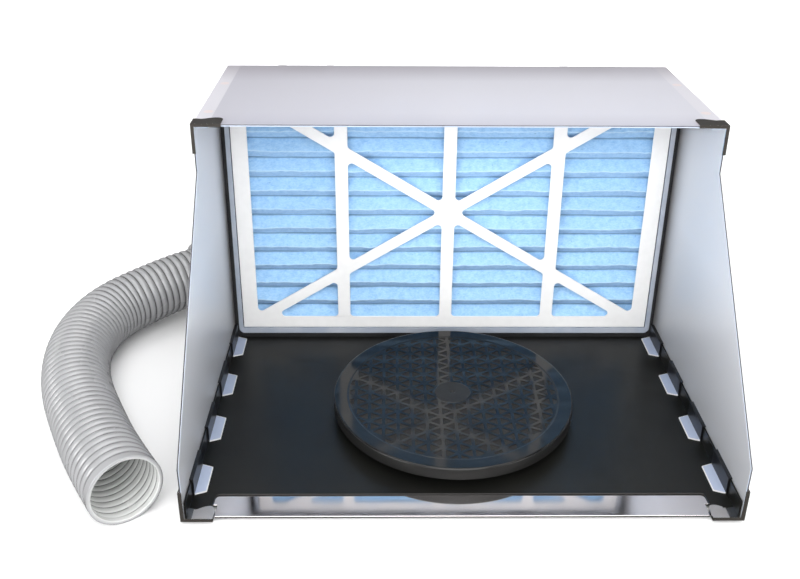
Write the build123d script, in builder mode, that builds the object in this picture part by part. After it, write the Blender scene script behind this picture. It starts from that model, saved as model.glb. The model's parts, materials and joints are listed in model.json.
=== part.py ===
"""Table-top spray booth with a frosted hood, turntable, pleated filter, blower and hose.

Millimetres. X runs across the booth, Y runs from front to back, Z runs up.
The origin is on the table, under the middle of the booth without its hose.
"""

from math import atan2, degrees, pi, radians, tan
import os

from build123d import *

os.makedirs("parts", exist_ok=True)

# Booth as a whole
face_y = 61.25             # front face of the filter
booth_half_width = 202.0   # outer faces of the side panels
floor_z = 5.0              # top of the floor tray
sheet = 1.6                # hood and bottom sheet thickness
gap = 0.3                  # clearance between pieces that don't touch
wall = 3.0                 # moulded housing walls

# Hood
hood_front_y = face_y - 249.0
hood_low_edge = 48.7       # top of the short upright front edge
hood_high_edge = 213.6     # foot of the upper upright front edge
top_front_y = face_y - 102.0
top_rear_y = face_y + 70.0
top_panel_z = 250.4
panel_bottom_z = 3.8
panel_rear_y = face_y + 34.0
panel_inner_x = booth_half_width - sheet
flap_width = 12.0
lip_front_y = face_y - 245.4   # front edge of the bottom sheet, seen in the tray's notch
flap_top_z = top_panel_z - gap
rivet_y = face_y + 17.0
rivet_heights = (40.0, 125.0, 210.0)
stud_x = 195.0
stud_offsets = (-70.0, 10.0)

# Floor tray and its hooks
tray_half_width = 200.0
tray_sheet = 1.2
tray_front_y = face_y - 248.0
flange_top_z = 18.6
notch_rear_y = face_y - 223.0
notch_half_width = 182.0
hook_centres = (-20.0, -82.5, -145.0, -207.5)
hook_length = 34.0
hook_sheet = 1.0
hook_foot = 8.5
hook_taper = 3.3

# Housing
housing_half_width = 200.0
housing_bottom_z = 3.0
housing_top_z = 248.2
housing_split_y = face_y + 48.0
housing_rear_y = face_y + 126.0
shelf_z = 228.0            # flat top of the rear cover, under the handle
ledge_z = 9.0              # ledge that carries the filter's clear frame
inner_x = housing_half_width - wall
inner_top_z = housing_top_z - 2.8
boss_places = ((188.0, 16.0), (-188.0, 72.0), (188.0, 215.0), (-188.0, 215.0))

# Filter
filter_half_width = 192.0
filter_low_z = 15.5
filter_high_z = 242.8
filter_depth = 20.0
cross_z = 135.0            # height where the diagonals of the front lattice cross
side_bar = 14.2
cross_bar = 11.5
diagonal_bar = 10.0
bar_spacing = 96.0
cell_corner = 3.5
pleat_count = 12

# Turntable
turntable_y = face_y - 116.0
turntable_radius = 100.0
turntable_top_z = 21.5
recess_radius = 88.0
hub_radius = 15.0
spindle_radius = 4.0

# Blower
fan_x = 25.0
fan_z = 94.0
scroll_radius = 84.0
scroll_front_y = face_y + 50.0
scroll_rear_y = face_y + 118.0
scroll_wall = 2.5
impeller_radius = 55.0
blade_count = 24
shaft_radius = 2.5
running = 0.05             # radial clearance of shafts and pins that turn

# Outlet and hose
outlet_y = face_y + 90.0
outlet_z = 36.0
pipe_radius = 25.0
pipe_bore = 23.0
hose_radius = 28.0
hose_bore = 25.0
elbow_turn = 36.0

# Handle, hinges, switch
handle_pivot_y = face_y + 85.0
handle_pivot_z = 234.5
handle_pin_radius = 2.0
hinge_y = face_y + 73.2
hinge_z = 249.0
hinge_pin_radius = 1.2
hinge_centres = (-130.0, 130.0)
switch_x = 150.0
switch_z = 60.0
rocker_y = face_y + 124.2
rocker_radius = 5.3
inlet_x = 110.0


def write(builder, name):
    """Label a finished piece and write its STEP file."""
    builder.part.label = name
    export_step(builder.part, f"parts/{name}.step")


def block(x_limits, y_limits, z_limits, mode=Mode.ADD):
    """Add or cut a box between three pairs of limits."""
    limits = (x_limits, y_limits, z_limits)
    sizes = [high - low for low, high in limits]
    middle = [(high + low) / 2 for low, high in limits]
    with Locations(tuple(middle)):
        Box(*sizes, mode=mode)


def across(x):
    """Plane square to X: its own x is Y and its own y is Z."""
    return Plane.YZ.offset(x)


def upright(y):
    """Plane square to Y, facing the front: its own x is X and its own y is Z."""
    return Plane.XZ.offset(-y)


def rod(plane, place, radius, length, mode=Mode.ADD):
    """Add or cut a round rod that starts on a plane and runs along its normal."""
    with BuildSketch(plane) as end:
        with Locations(place):
            Circle(radius)
    extrude(end.sketch, amount=length, mode=mode)


def rod_back(y_limits, place, radius, mode=Mode.ADD):
    """Add or cut a round rod along Y between two limits."""
    rod(upright(y_limits[1]), place, radius, y_limits[1] - y_limits[0], mode)


def rod_across(x_limits, place, radius, mode=Mode.ADD):
    """Add or cut a round rod along X between two limits."""
    rod(across(x_limits[0]), place, radius, x_limits[1] - x_limits[0], mode)


def rod_up(z_limits, place, radius, mode=Mode.ADD):
    """Add or cut a round rod along Z between two limits."""
    rod(Plane.XY.offset(z_limits[0]), place, radius, z_limits[1] - z_limits[0], mode)


def span(x, width):
    """Limits along X of a strip of a given width, starting at x and going outward."""
    return (x, x + width) if x > 0 else (x - width, x)


# ---------------------------------------------------------------- hood sheets

def side_panel(side):
    """Frosted side sheet with a top flap and four hooks over the tray's flange."""
    with BuildPart() as panel:
        with BuildSketch(across(side * panel_inner_x)):
            with BuildLine():
                Polyline(
                    (panel_rear_y, panel_bottom_z),
                    (hood_front_y, panel_bottom_z),
                    (hood_front_y, hood_low_edge),
                    (top_front_y, hood_high_edge),
                    (top_front_y, flap_top_z),
                    (panel_rear_y, flap_top_z),
                    close=True,
                )
            make_face()
        extrude(amount=side * sheet)
        flap_x = sorted((side * (booth_half_width - flap_width), side * booth_half_width))
        block(flap_x, (top_front_y + 2, panel_rear_y), (flap_top_z - sheet, flap_top_z))
        for centre in hook_centres:
            hook(side, face_y + centre)
        for height in rivet_heights:
            rod_across((side * 201 - 2, side * 201 + 2), (rivet_y, height), 2.0, Mode.SUBTRACT)
        for offset_y in stud_offsets:
            rod_up((flap_top_z - 3, flap_top_z + 1), (side * stud_x, face_y + offset_y), 4.3, Mode.SUBTRACT)
    return panel


def hook(side, middle_y):
    """One hook: over the flange, down its inner face and flat along the floor."""
    leg_outer = tray_half_width - tray_sheet - gap
    leg_inner = leg_outer - hook_sheet
    foot_end = leg_inner - hook_foot
    rise = flange_top_z + gap
    foot_z = floor_z + gap
    rear_y = middle_y + hook_length / 2
    front_y = middle_y - hook_length / 2
    bridge_x = sorted((side * leg_inner, side * (panel_inner_x + 0.1)))
    leg_x = sorted((side * leg_inner, side * leg_outer))
    block(bridge_x, (front_y, rear_y), (rise, rise + hook_sheet))
    block(leg_x, (front_y, rear_y), (foot_z, rise))
    with BuildSketch(Plane.XY.offset(foot_z)) as foot:
        with BuildLine():
            Polyline(
                (side * leg_outer, front_y),
                (side * leg_inner, front_y),
                (side * foot_end, front_y + hook_taper),
                (side * foot_end, rear_y - hook_taper),
                (side * leg_inner, rear_y),
                (side * leg_outer, rear_y),
                close=True,
            )
        make_face()
    extrude(foot.sketch, amount=hook_sheet)


side_panel_left = side_panel(-1)
write(side_panel_left, "side_panel_left")

side_panel_right = side_panel(1)
write(side_panel_right, "side_panel_right")

with BuildPart() as top_panel:
    block(
        (-booth_half_width, booth_half_width),
        (top_front_y, top_rear_y),
        (top_panel_z, top_panel_z + sheet),
    )
    fillet(top_panel.edges().filter_by(Axis.Z).group_by(Axis.Y)[0], 3.0)
write(top_panel, "top_panel")

with BuildPart() as snap_studs:
    for side in (-1, 1):
        for offset_y in stud_offsets:
            rod_up((top_panel_z - 1.5, top_panel_z), (side * stud_x, face_y + offset_y), 3.5)
write(snap_studs, "snap_studs")

with BuildPart() as panel_rivets:
    for height in rivet_heights:
        for side in (-1, 1):
            shank_x = sorted((side * (inner_x + 0.2), side * booth_half_width))
            head_x = sorted((side * booth_half_width, side * (booth_half_width + 1.1)))
            rod_across(shank_x, (rivet_y, height), 1.9)
            rod_across(head_x, (rivet_y, height), 4.0)
write(panel_rivets, "panel_rivets")


# ------------------------------------------------------- chrome corner clips

clip_metal = 0.8
clip_outer_x = booth_half_width + gap + clip_metal
clip_inner_x = 180.0       # end of the clip's arm across the booth
lower_clip_z = 2.9
lower_post_z = 29.0
upper_post_z = 229.0


def wavy_plate(side, low_z, x_outer, y_front, depth):
    """Flat plate with a rounded inner end and a rear edge that is a soft wave."""
    reach = x_outer - clip_inner_x
    with BuildSketch(Plane.XY.offset(low_z)) as plate:
        with BuildLine():
            Polyline(
                (side * x_outer, y_front + depth - 2.5),
                (side * x_outer, y_front),
                (side * clip_inner_x, y_front),
                (side * clip_inner_x, y_front + depth - 6),
            )
            Spline(
                (side * clip_inner_x, y_front + depth - 6),
                (side * (clip_inner_x + 0.26 * reach), y_front + depth),
                (side * (clip_inner_x + 0.70 * reach), y_front + depth - 3.5),
                (side * x_outer, y_front + depth - 2.5),
                tangents=[(0, 1), (side, 0.1)],
            )
        make_face()
    extrude(plate.sketch, amount=clip_metal)


def bent_strip(side, y_front, arm_z, post_z):
    """The clip's front: a low arm across the booth and a post up or down its corner."""
    arm_x = sorted((side * clip_inner_x, side * clip_outer_x))
    post_x = sorted((side * panel_inner_x, side * clip_outer_x))
    side_x = sorted((side * (clip_outer_x - clip_metal), side * clip_outer_x))
    block(arm_x, (y_front, y_front + clip_metal), arm_z)
    block(post_x, (y_front, y_front + clip_metal), post_z)
    block(side_x, (y_front, y_front + 10.0), post_z)


def lower_clip(side):
    """Chrome clip round a lower front corner of the booth."""
    front_y = hood_front_y - gap - clip_metal
    high_z = floor_z + clip_metal
    with BuildPart() as clip:
        wavy_plate(side, floor_z, tray_half_width - tray_sheet - gap, front_y, 13.5)
        wavy_plate(side, lower_clip_z, clip_outer_x, front_y, 13.5)
        bent_strip(side, front_y, (lower_clip_z, high_z), (lower_clip_z, lower_post_z))
    return clip


def upper_clip(side):
    """Chrome clip on an upper front corner, fixed to the top panel."""
    front_y = top_front_y - gap - clip_metal
    high_z = top_panel_z + sheet + clip_metal
    with BuildPart() as clip:
        wavy_plate(side, top_panel_z + sheet, clip_outer_x, front_y, 16.0)
        bent_strip(side, front_y, (top_panel_z, high_z), (upper_post_z, high_z))
    return clip


for place, maker in (("lower", lower_clip), ("upper", upper_clip)):
    for hand, side in (("left", -1), ("right", 1)):
        write(maker(side), f"corner_clip_{place}_{hand}")


# ------------------------------------------------------------ floor and feet

with BuildPart() as floor_tray:
    tray_y = (tray_front_y, face_y - 0.5)
    block((-tray_half_width, tray_half_width), tray_y, (floor_z - tray_sheet, floor_z))
    for side in (-1, 1):
        flange_x = sorted((side * (tray_half_width - tray_sheet), side * tray_half_width))
        block(flange_x, tray_y, (floor_z - tray_sheet, flange_top_z))
    folds = floor_tray.edges().filter_by(Axis.Y).group_by(Axis.Z)[0]
    fillet(folds, 1.1)
    with BuildSketch(Plane.XY.offset(floor_z - 2 * tray_sheet)):
        with BuildLine():
            Polyline(
                (-notch_half_width - 1.3, tray_front_y - 1),
                (-notch_half_width, notch_rear_y),
                (notch_half_width, notch_rear_y),
                (notch_half_width + 1.3, tray_front_y - 1),
                close=True,
            )
        notch = make_face()
        fillet(notch.vertices().group_by(Axis.Y)[-1], 3.0)
    extrude(amount=4 * tray_sheet, mode=Mode.SUBTRACT)
write(floor_tray, "floor_tray")

with BuildPart() as bottom_sheet:
    block(
        (-booth_half_width, booth_half_width),
        (lip_front_y, face_y - 0.5),
        (2.0, 2.0 + sheet),
    )
    for side in (-1, 1):
        corner_x = sorted((side * (clip_inner_x - gap), side * (booth_half_width + 1)))
        block(corner_x, (lip_front_y - 1, lip_front_y + 12), (1.0, 5.0), Mode.SUBTRACT)
write(bottom_sheet, "bottom_sheet")

with BuildPart() as front_pads:
    for pad_x in (-165.0, 165.0):
        for pad_y in (face_y - 232.0, face_y - 30.0):
            rod_up((0.0, 2.0), (pad_x, pad_y), 6.0)
write(front_pads, "front_pads")

with BuildPart() as housing_feet:
    for foot_x in (-180.0, 180.0):
        for foot_y in (face_y + 16.0, face_y + 108.0):
            rod_up((0.0, housing_bottom_z), (foot_x, foot_y), 7.0)
write(housing_feet, "housing_feet")


# ------------------------------------------------------------------- housing

with BuildPart() as housing_frame:
    outer_x = (-housing_half_width, housing_half_width)
    cavity_x = (-inner_x, inner_x)
    frame_y = (face_y, housing_split_y)
    block(outer_x, frame_y, (housing_bottom_z, housing_top_z))
    block(cavity_x, (face_y - 1, face_y + 24), (ledge_z, inner_top_z), Mode.SUBTRACT)
    block(cavity_x, (face_y + 24, housing_split_y + 1), (6.0, inner_top_z), Mode.SUBTRACT)
    for boss_x, boss_z in boss_places:
        rod_back((face_y + 36, housing_split_y), (boss_x, boss_z), 4.5)
        web_x = span(boss_x, inner_x - 188.0 + 1)
        block(web_x, (face_y + 36, housing_split_y), (boss_z - 1.5, boss_z + 1.5))
        rod_back((face_y + 40, housing_split_y), (boss_x, boss_z), 1.55, Mode.SUBTRACT)
    for side in (-1, 1):
        for height in rivet_heights:
            hole_x = (side * 198.5 - 3, side * 198.5 + 3)
            rod_across(hole_x, (rivet_y, height), 2.0, Mode.SUBTRACT)
write(housing_frame, "housing_frame")


def cover_outline(inset):
    """Points of the rear cover's side profile, moved in by an inset."""
    slope = 0.55 * inset
    open_y = housing_split_y - inset
    return (
        (open_y, housing_bottom_z + inset),
        (open_y, housing_top_z - inset),
        (face_y + 69.0 - slope, housing_top_z - inset),
        (face_y + 80.0 - slope, shelf_z - inset),
        (housing_rear_y - 6.0 - slope, shelf_z - inset),
        (housing_rear_y - inset, shelf_z - 6.0 - slope),
        (housing_rear_y - inset, housing_bottom_z + inset),
    )


with BuildPart() as rear_cover:
    with BuildSketch(across(-housing_half_width)):
        with BuildLine():
            Polyline(*cover_outline(0.0), close=True)
        make_face()
    extrude(amount=2 * housing_half_width)
    fillet(rear_cover.edges().filter_by(Axis.Z).group_by(Axis.Y)[-1], 5.0)
    with BuildSketch(across(-inner_x)):
        with BuildLine():
            Polyline(*cover_outline(wall), close=True)
        make_face()
    extrude(amount=2 * inner_x, mode=Mode.SUBTRACT)
    # screw bosses with deep counterbores, open at the rear
    for boss_x, boss_z in boss_places:
        rod_back((housing_split_y, housing_rear_y - 1), (boss_x, boss_z), 5.5)
        web_x = span(boss_x, inner_x - 188.0 + 1)
        block(web_x, (housing_split_y, housing_rear_y - 1), (boss_z - 1.5, boss_z + 1.5))
        rod_back((face_y + 58, housing_rear_y + 1), (boss_x, boss_z), 4.0, Mode.SUBTRACT)
        rod_back((housing_split_y - 1, face_y + 60), (boss_x, boss_z), 1.7, Mode.SUBTRACT)
    # lugs for the top panel's hinges
    for hinge_x in hinge_centres:
        for lug_x in ((hinge_x - 26, hinge_x - 18.4), (hinge_x + 18.4, hinge_x + 26)):
            with BuildSketch(across(lug_x[0])):
                with Locations((hinge_y, hinge_z)):
                    Circle(2.3)
                Polygon(
                    (hinge_y - 2.3, hinge_z),
                    (hinge_y + 2.3, hinge_z),
                    (face_y + 77.0, 230.0),
                    (face_y + 70.5, 243.0),
                    align=None,
                )
            extrude(amount=lug_x[1] - lug_x[0])
            rod_across(lug_x, (hinge_y, hinge_z), hinge_pin_radius + running, Mode.SUBTRACT)
    # lugs for the carry handle
    for side in (-1, 1):
        lug_x = sorted((side * 61.4, side * 67.0))
        with BuildSketch(across(lug_x[0])):
            with Locations((handle_pivot_y, handle_pivot_z)):
                Circle(5.0)
            Polygon(
                (handle_pivot_y - 5, handle_pivot_z),
                (handle_pivot_y + 5, handle_pivot_z),
                (handle_pivot_y + 6, shelf_z - 1),
                (handle_pivot_y - 4, shelf_z - 1),
                align=None,
            )
        extrude(amount=lug_x[1] - lug_x[0])
        rod_across(lug_x, (handle_pivot_y, handle_pivot_z), handle_pin_radius, Mode.SUBTRACT)
    # openings for the hose outlet, the switch and the power inlet
    rod_across((-housing_half_width - 1, -inner_x + 1), (outlet_y, outlet_z), pipe_radius + gap, Mode.SUBTRACT)
    block(
        (switch_x - 9.8, switch_x + 9.8),
        (housing_rear_y - wall - 1, housing_rear_y + 1),
        (switch_z - 6.6, switch_z + 6.6),
        Mode.SUBTRACT,
    )
    rod_back((housing_rear_y - wall - 1, housing_rear_y + 1), (inlet_x, switch_z), 4.1, Mode.SUBTRACT)
    # posts for the circuit board
    for post in ((122.0, 84.0), (166.0, 102.0)):
        rod_back((face_y + 118.6, housing_rear_y - wall + 0.5), post, 2.5)
write(rear_cover, "rear_cover")

with BuildPart() as cover_screws:
    for place in boss_places:
        rod_back((face_y + 40.5, face_y + 58), place, 1.5)
        rod_back((face_y + 58, face_y + 60.4), place, 3.4)
        rod_back((face_y + 59.4, face_y + 61), place, 1.0, Mode.SUBTRACT)
write(cover_screws, "cover_screws")

with BuildPart() as filter_retainer:
    ring_x = inner_x - gap
    ring_low = ledge_z + 0.2
    ring_high = inner_top_z - 0.2
    ring_y = (face_y - 0.6, face_y + 23.0)
    opening_x = filter_half_width + 0.6
    block((-ring_x, ring_x), ring_y, (ring_low, ring_high))
    fillet(filter_retainer.edges().filter_by(Axis.Y), 5.0)
    block(
        (-opening_x, opening_x),
        (face_y - 1, face_y + 1),
        (filter_low_z - 0.5, ring_high - 1),
        Mode.SUBTRACT,
    )
    block(
        (-ring_x + 1, ring_x - 1),
        (face_y + 0.4, face_y + 22.0),
        (ring_low + 1, ring_high - 1),
        Mode.SUBTRACT,
    )
    block((-188, 188), (face_y + 21, face_y + 24), (20.0, 240.0), Mode.SUBTRACT)
write(filter_retainer, "filter_retainer")

with BuildPart() as support_grille:
    block((-196.5, 196.5), (face_y + 23.4, face_y + 25.4), (9.3, 245.0))
    with BuildSketch(upright(face_y + 26)):
        with Locations((0, 127.0)):
            with GridLocations(27.0, 27.0, 14, 8):
                Rectangle(24.0, 24.0)
    extrude(amount=3.0, mode=Mode.SUBTRACT)
write(support_grille, "support_grille")

with BuildPart() as inner_bulkhead:
    plate_x = inner_x - gap
    block((-plate_x, plate_x), (face_y + 44, face_y + 46.5), (6.3, inner_top_z - 0.2))
    rod_back((face_y + 43, face_y + 47), (fan_x, fan_z), 44.0, Mode.SUBTRACT)
    for boss_x, boss_z in boss_places:
        notch_x = sorted((boss_x / 188 * 181.5, boss_x / 188 * 198.0))
        block(notch_x, (face_y + 43, face_y + 47), (boss_z - 7, boss_z + 7), Mode.SUBTRACT)
write(inner_bulkhead, "inner_bulkhead")

with BuildPart() as inlet_guard:
    guard_y = (face_y + 42.2, face_y + 44.0)
    for radius in (47.5, 36.0, 24.0, 12.0):
        with BuildSketch(upright(guard_y[1])):
            with Locations((fan_x, fan_z)):
                Circle(radius)
                Circle(radius - 1.8, mode=Mode.SUBTRACT)
        extrude(amount=1.8)
    with BuildSketch(upright(guard_y[1])):
        with Locations((fan_x, fan_z)):
            with PolarLocations(0, 3, angular_range=180):
                Rectangle(93.5, 1.8)
    extrude(amount=1.8)
write(inlet_guard, "inlet_guard")


# -------------------------------------------------------------------- filter

def filter_plane(y_offset):
    """Upright plane behind the filter's front face."""
    return upright(face_y + y_offset)


filter_middle_z = (filter_low_z + filter_high_z) / 2
filter_height = filter_high_z - filter_low_z
diagonal_turn = degrees(atan2(cross_z - filter_low_z, filter_half_width))

with BuildPart() as filter_front:
    with BuildSketch(filter_plane(1.2)) as lattice:
        with Locations((0, filter_middle_z)):
            Rectangle(2 * filter_half_width, filter_height)
            Rectangle(
                2 * (filter_half_width - side_bar),
                filter_height - 2 * cross_bar,
                mode=Mode.SUBTRACT,
            )
        for bar_x in (-bar_spacing, 0, bar_spacing):
            with Locations((bar_x, filter_middle_z)):
                Rectangle(cross_bar, filter_height - cross_bar)
        for side in (-1, 1):
            with Locations(Location((0, cross_z, 0), (0, 0, side * diagonal_turn))):
                Rectangle(4 * filter_half_width, diagonal_bar)
        with Locations((0, filter_middle_z)):
            Rectangle(2 * filter_half_width, filter_height, mode=Mode.INTERSECT)
        for cell in lattice.faces()[0].inner_wires():
            fillet(cell.vertices(), cell_corner)
    extrude(lattice.sketch, amount=1.2)
write(filter_front, "filter_front")

with BuildPart() as filter_band:
    block(
        (-filter_half_width, filter_half_width),
        (face_y + 1.2, face_y + 18.0),
        (filter_low_z, filter_high_z),
    )
    block(
        (1.5 - filter_half_width, filter_half_width - 1.5),
        (face_y, face_y + 19.0),
        (filter_low_z + 1.5, filter_high_z - 1.5),
        Mode.SUBTRACT,
    )
write(filter_band, "filter_band")

with BuildPart() as filter_back:
    block(
        (-filter_half_width, filter_half_width),
        (face_y + 18.0, face_y + filter_depth),
        (filter_low_z, filter_high_z),
    )
    block(
        (-176, 176),
        (face_y + 17.0, face_y + 21.0),
        (filter_low_z + 16, filter_high_z - 16),
        Mode.SUBTRACT,
    )
write(filter_back, "filter_back")

with BuildPart() as filter_media:
    pleat_low = filter_low_z + 2.0
    pitch = (filter_height - 4.0) / pleat_count
    near_y = face_y + 1.5
    far_y = face_y + 16.0
    felt = 1.6
    front_line = [(near_y, pleat_low)]
    for index in range(pleat_count):
        base = pleat_low + index * pitch
        front_line.append((far_y, base + 0.3 * pitch))
        front_line.append((near_y, base + pitch))
    back_line = [(y + felt, z) for y, z in reversed(front_line)]
    with BuildSketch(across(-188.0)):
        with BuildLine():
            Polyline(*front_line, *back_line, close=True)
        make_face()
    extrude(amount=376.0)
write(filter_media, "filter_media")


# -------------------------------------------------------------------- blower

def scroll_outline(inset):
    """Round scroll with a duct along the bottom to the left."""
    with Locations((fan_x, fan_z)):
        Circle(scroll_radius - inset)
    duct_low = fan_z - scroll_radius + inset
    duct_high = 62.0 - inset
    duct_left = -192.5 + inset
    with Locations(((duct_left + fan_x) / 2, (duct_low + duct_high) / 2)):
        Rectangle(fan_x - duct_left, duct_high - duct_low)


with BuildPart() as scroll_housing:
    with BuildSketch(upright(scroll_rear_y)):
        scroll_outline(0.0)
    extrude(amount=scroll_rear_y - scroll_front_y - 2.3)
    with BuildSketch(upright(scroll_rear_y - scroll_wall)):
        scroll_outline(scroll_wall)
    extrude(amount=80.0, mode=Mode.SUBTRACT)
    rod_across((-194.0, -188.0), (outlet_y, outlet_z), pipe_radius + 0.2, Mode.SUBTRACT)
    rod_back((scroll_rear_y - 4, scroll_rear_y + 1), (fan_x, fan_z + 10), 1.6, Mode.SUBTRACT)
write(scroll_housing, "scroll_housing")

with BuildPart() as scroll_front:
    with BuildSketch(upright(scroll_front_y + 2.3)):
        scroll_outline(0.0)
    extrude(amount=2.3)
    rod_back((scroll_front_y - 1, scroll_front_y + 3), (fan_x, fan_z), 42.0, Mode.SUBTRACT)
write(scroll_front, "scroll_front")

with BuildPart() as scroll_gasket:
    rod_back((face_y + 46.5, scroll_front_y), (fan_x, fan_z), 51.0)
    rod_back((face_y + 46, scroll_front_y + 1), (fan_x, fan_z), 45.0, Mode.SUBTRACT)
write(scroll_gasket, "scroll_gasket")

with BuildPart() as impeller:
    fan_place = (fan_x, fan_z)
    rod_back((face_y + 62, face_y + 97), fan_place, 11.0)
    rod_back((face_y + 95.5, face_y + 97.5), fan_place, impeller_radius)
    with BuildSketch(upright(face_y + 60)):
        with Locations(fan_place):
            Circle(impeller_radius)
            Circle(impeller_radius - 10, mode=Mode.SUBTRACT)
    extrude(amount=2.0)
    with BuildSketch(upright(face_y + 96)):
        with Locations(fan_place):
            with PolarLocations(impeller_radius - 5.5, blade_count, start_angle=0):
                Rectangle(9.0, 1.2, rotation=32)
    extrude(amount=37.0)
    rod_back((face_y + 60, face_y + 99), fan_place, shaft_radius, Mode.SUBTRACT)
write(impeller, "impeller")

with BuildPart() as motor_shaft:
    rod_back((face_y + 61, face_y + 114.2), (fan_x, fan_z), shaft_radius)
write(motor_shaft, "motor_shaft")

with BuildPart() as motor_rotor:
    rod_back((face_y + 104.2, face_y + 111.3), (fan_x, fan_z), 17.0)
    rod_back((face_y + 104, face_y + 112), (fan_x, fan_z), shaft_radius, Mode.SUBTRACT)
write(motor_rotor, "motor_rotor")

with BuildPart() as motor_case:
    rod_back((face_y + 99.5, face_y + 115.5), (fan_x, fan_z), 24.0)
    rod_back((face_y + 103.5, face_y + 112.0), (fan_x, fan_z), 20.0, Mode.SUBTRACT)
    rod_back((face_y + 100.7, face_y + 114.5), (fan_x, fan_z), 8.0, Mode.SUBTRACT)
    rod_back((face_y + 99, face_y + 101), (fan_x, fan_z), 2.8, Mode.SUBTRACT)
write(motor_case, "motor_case")

with BuildPart() as motor_bearings:
    for bearing_y in ((face_y + 100.7, face_y + 103.5), (face_y + 112.0, face_y + 114.5)):
        rod_back(bearing_y, (fan_x, fan_z), 8.0)
        rod_back(bearing_y, (fan_x, fan_z), shaft_radius + running, Mode.SUBTRACT)
write(motor_bearings, "motor_bearings")

with BuildPart() as motor_lead:
    with BuildLine() as lead_path:
        FilletPolyline(
            (fan_x, face_y + 115.6, fan_z + 10),
            (fan_x, face_y + 120.2, fan_z + 10),
            (126.0, face_y + 120.2, fan_z + 10),
            radius=3.0,
        )
    with BuildSketch(Plane(origin=lead_path.line @ 0, z_dir=lead_path.line % 0)):
        Circle(1.0)
    sweep()
write(motor_lead, "motor_lead")


# ----------------------------------------------------------- outlet and hose

outlet_way = Vector(-1, 0, 0).rotate(Axis.Z, elbow_turn)
bend_point = Vector(-216.0, outlet_y, outlet_z)
pipe_end = bend_point + outlet_way * 30.0

with BuildPart() as outlet_elbow:
    with BuildLine() as elbow_path:
        FilletPolyline((-192.0, outlet_y, outlet_z), bend_point, pipe_end, radius=45.0)
    with BuildSketch(Plane(origin=elbow_path.line @ 0, z_dir=elbow_path.line % 0)):
        Circle(pipe_radius)
        Circle(pipe_bore, mode=Mode.SUBTRACT)
    sweep()
    with BuildSketch(across(-inner_x + 0.1)):
        with Locations((outlet_y, outlet_z)):
            Circle(28.5)
            Circle(pipe_radius - 0.5, mode=Mode.SUBTRACT)
    extrude(amount=2.4)
write(outlet_elbow, "outlet_elbow")

with BuildPart() as hose_cuff:
    with BuildSketch(Plane(origin=pipe_end - outlet_way * 14.0, z_dir=outlet_way)):
        Circle(32.0)
        Circle(pipe_radius + 0.1, mode=Mode.SUBTRACT)
    extrude(amount=20.0)
write(hose_cuff, "hose_cuff")

# Route of the hose's centre line, from the cuff to its open end. The y values are
# measured from the filter's face.
hose_route = [
    (-245.1246, 68.8397, 36.0),
    (-261.3049, 57.0840, 36.0),
    (-287.5, 34.9, 33.5),
    (-316.9, 5.9, 30.0),
    (-329.5, -32.7, 28.0),
    (-327.1, -75.9, 28.0),
    (-313.0, -122.1, 28.0),
    (-289.5, -167.6, 28.0),
    (-264.4, -211.9, 28.0),
    (-240.5, -245.5, 28.0),
]


def route_radii(points):
    """Largest tangent arcs that the runs of a route allow."""
    radii = []
    for before, here, after in zip(points, points[1:], points[2:]):
        run_in = Vector(*here) - Vector(*before)
        run_out = Vector(*after) - Vector(*here)
        half_turn = radians(run_in.get_angle(run_out)) / 2
        radii.append(0.45 * min(run_in.length, run_out.length) / tan(half_turn))
    return radii


hose_points = [(x, face_y + y, z) for x, y, z in hose_route]
hose_radii = route_radii(hose_points)
print("hose bend radii:", [round(radius) for radius in hose_radii])

with BuildPart() as hose:
    with BuildLine() as hose_path:
        FilletPolyline(*hose_points, radius=hose_radii)
    with BuildSketch(Plane(origin=hose_path.line @ 0, z_dir=hose_path.line % 0)):
        Circle(hose_radius)
        Circle(hose_bore, mode=Mode.SUBTRACT)
    sweep()
hose_length = sum(edge.length for edge in hose_path.edges())
hose_section = pi * (hose_radius**2 - hose_bore**2)
print("hose length:", round(hose_length, 1))
print("hose volume over section times length:", round(hose.part.volume / hose_section / hose_length, 4))
write(hose, "hose")


# ----------------------------------------------------------------- turntable

turntable_place = (0.0, turntable_y)

with BuildPart() as turntable_disc:
    rod_up((11.5, turntable_top_z), turntable_place, turntable_radius)
    rod_up((11.0, 18.5), turntable_place, turntable_radius - 3, Mode.SUBTRACT)
    rod_up((14.3, 18.6), turntable_place, 14.0)
    with BuildSketch(Plane.XY.offset(15.0)):
        with Locations(turntable_place):
            with PolarLocations(55.0, 6):
                Rectangle(86.0, 2.0)
    extrude(amount=3.6)
    with BuildSketch(Plane.XY.offset(turntable_top_z - 1.2)):
        with Locations(turntable_place):
            Circle(recess_radius)
            Circle(hub_radius, mode=Mode.SUBTRACT)
    extrude(amount=2.0, mode=Mode.SUBTRACT)
    rod_up((14.0, 18.3), turntable_place, spindle_radius + running, Mode.SUBTRACT)
    fillet(turntable_disc.edges().filter_by(GeomType.CIRCLE).group_by(Axis.Z)[-1].sort_by(SortBy.RADIUS)[-1], 1.5)
write(turntable_disc, "turntable_disc")

with BuildPart() as turntable_base:
    rod_up((6.2, 10.2), turntable_place, 60.0)
    rod_up((10.2, 13.2), turntable_place, 14.0)
    rod_up((6.0, 14.0), turntable_place, spindle_radius, Mode.SUBTRACT)
write(turntable_base, "turntable_base")

with BuildPart() as turntable_washer:
    rod_up((13.2, 14.0), turntable_place, 12.0)
    rod_up((13.0, 14.5), turntable_place, spindle_radius + 0.5, Mode.SUBTRACT)
write(turntable_washer, "turntable_washer")

with BuildPart() as turntable_spindle:
    rod_up((6.4, 18.0), turntable_place, spindle_radius)
write(turntable_spindle, "turntable_spindle")

with BuildPart() as turntable_pads:
    with BuildSketch(Plane.XY.offset(floor_z)):
        with Locations(turntable_place):
            with PolarLocations(48.0, 3, start_angle=90):
                Circle(6.0)
    extrude(amount=1.2)
write(turntable_pads, "turntable_pads")


# ----------------------------------------------- top hinges and carry handle

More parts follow.
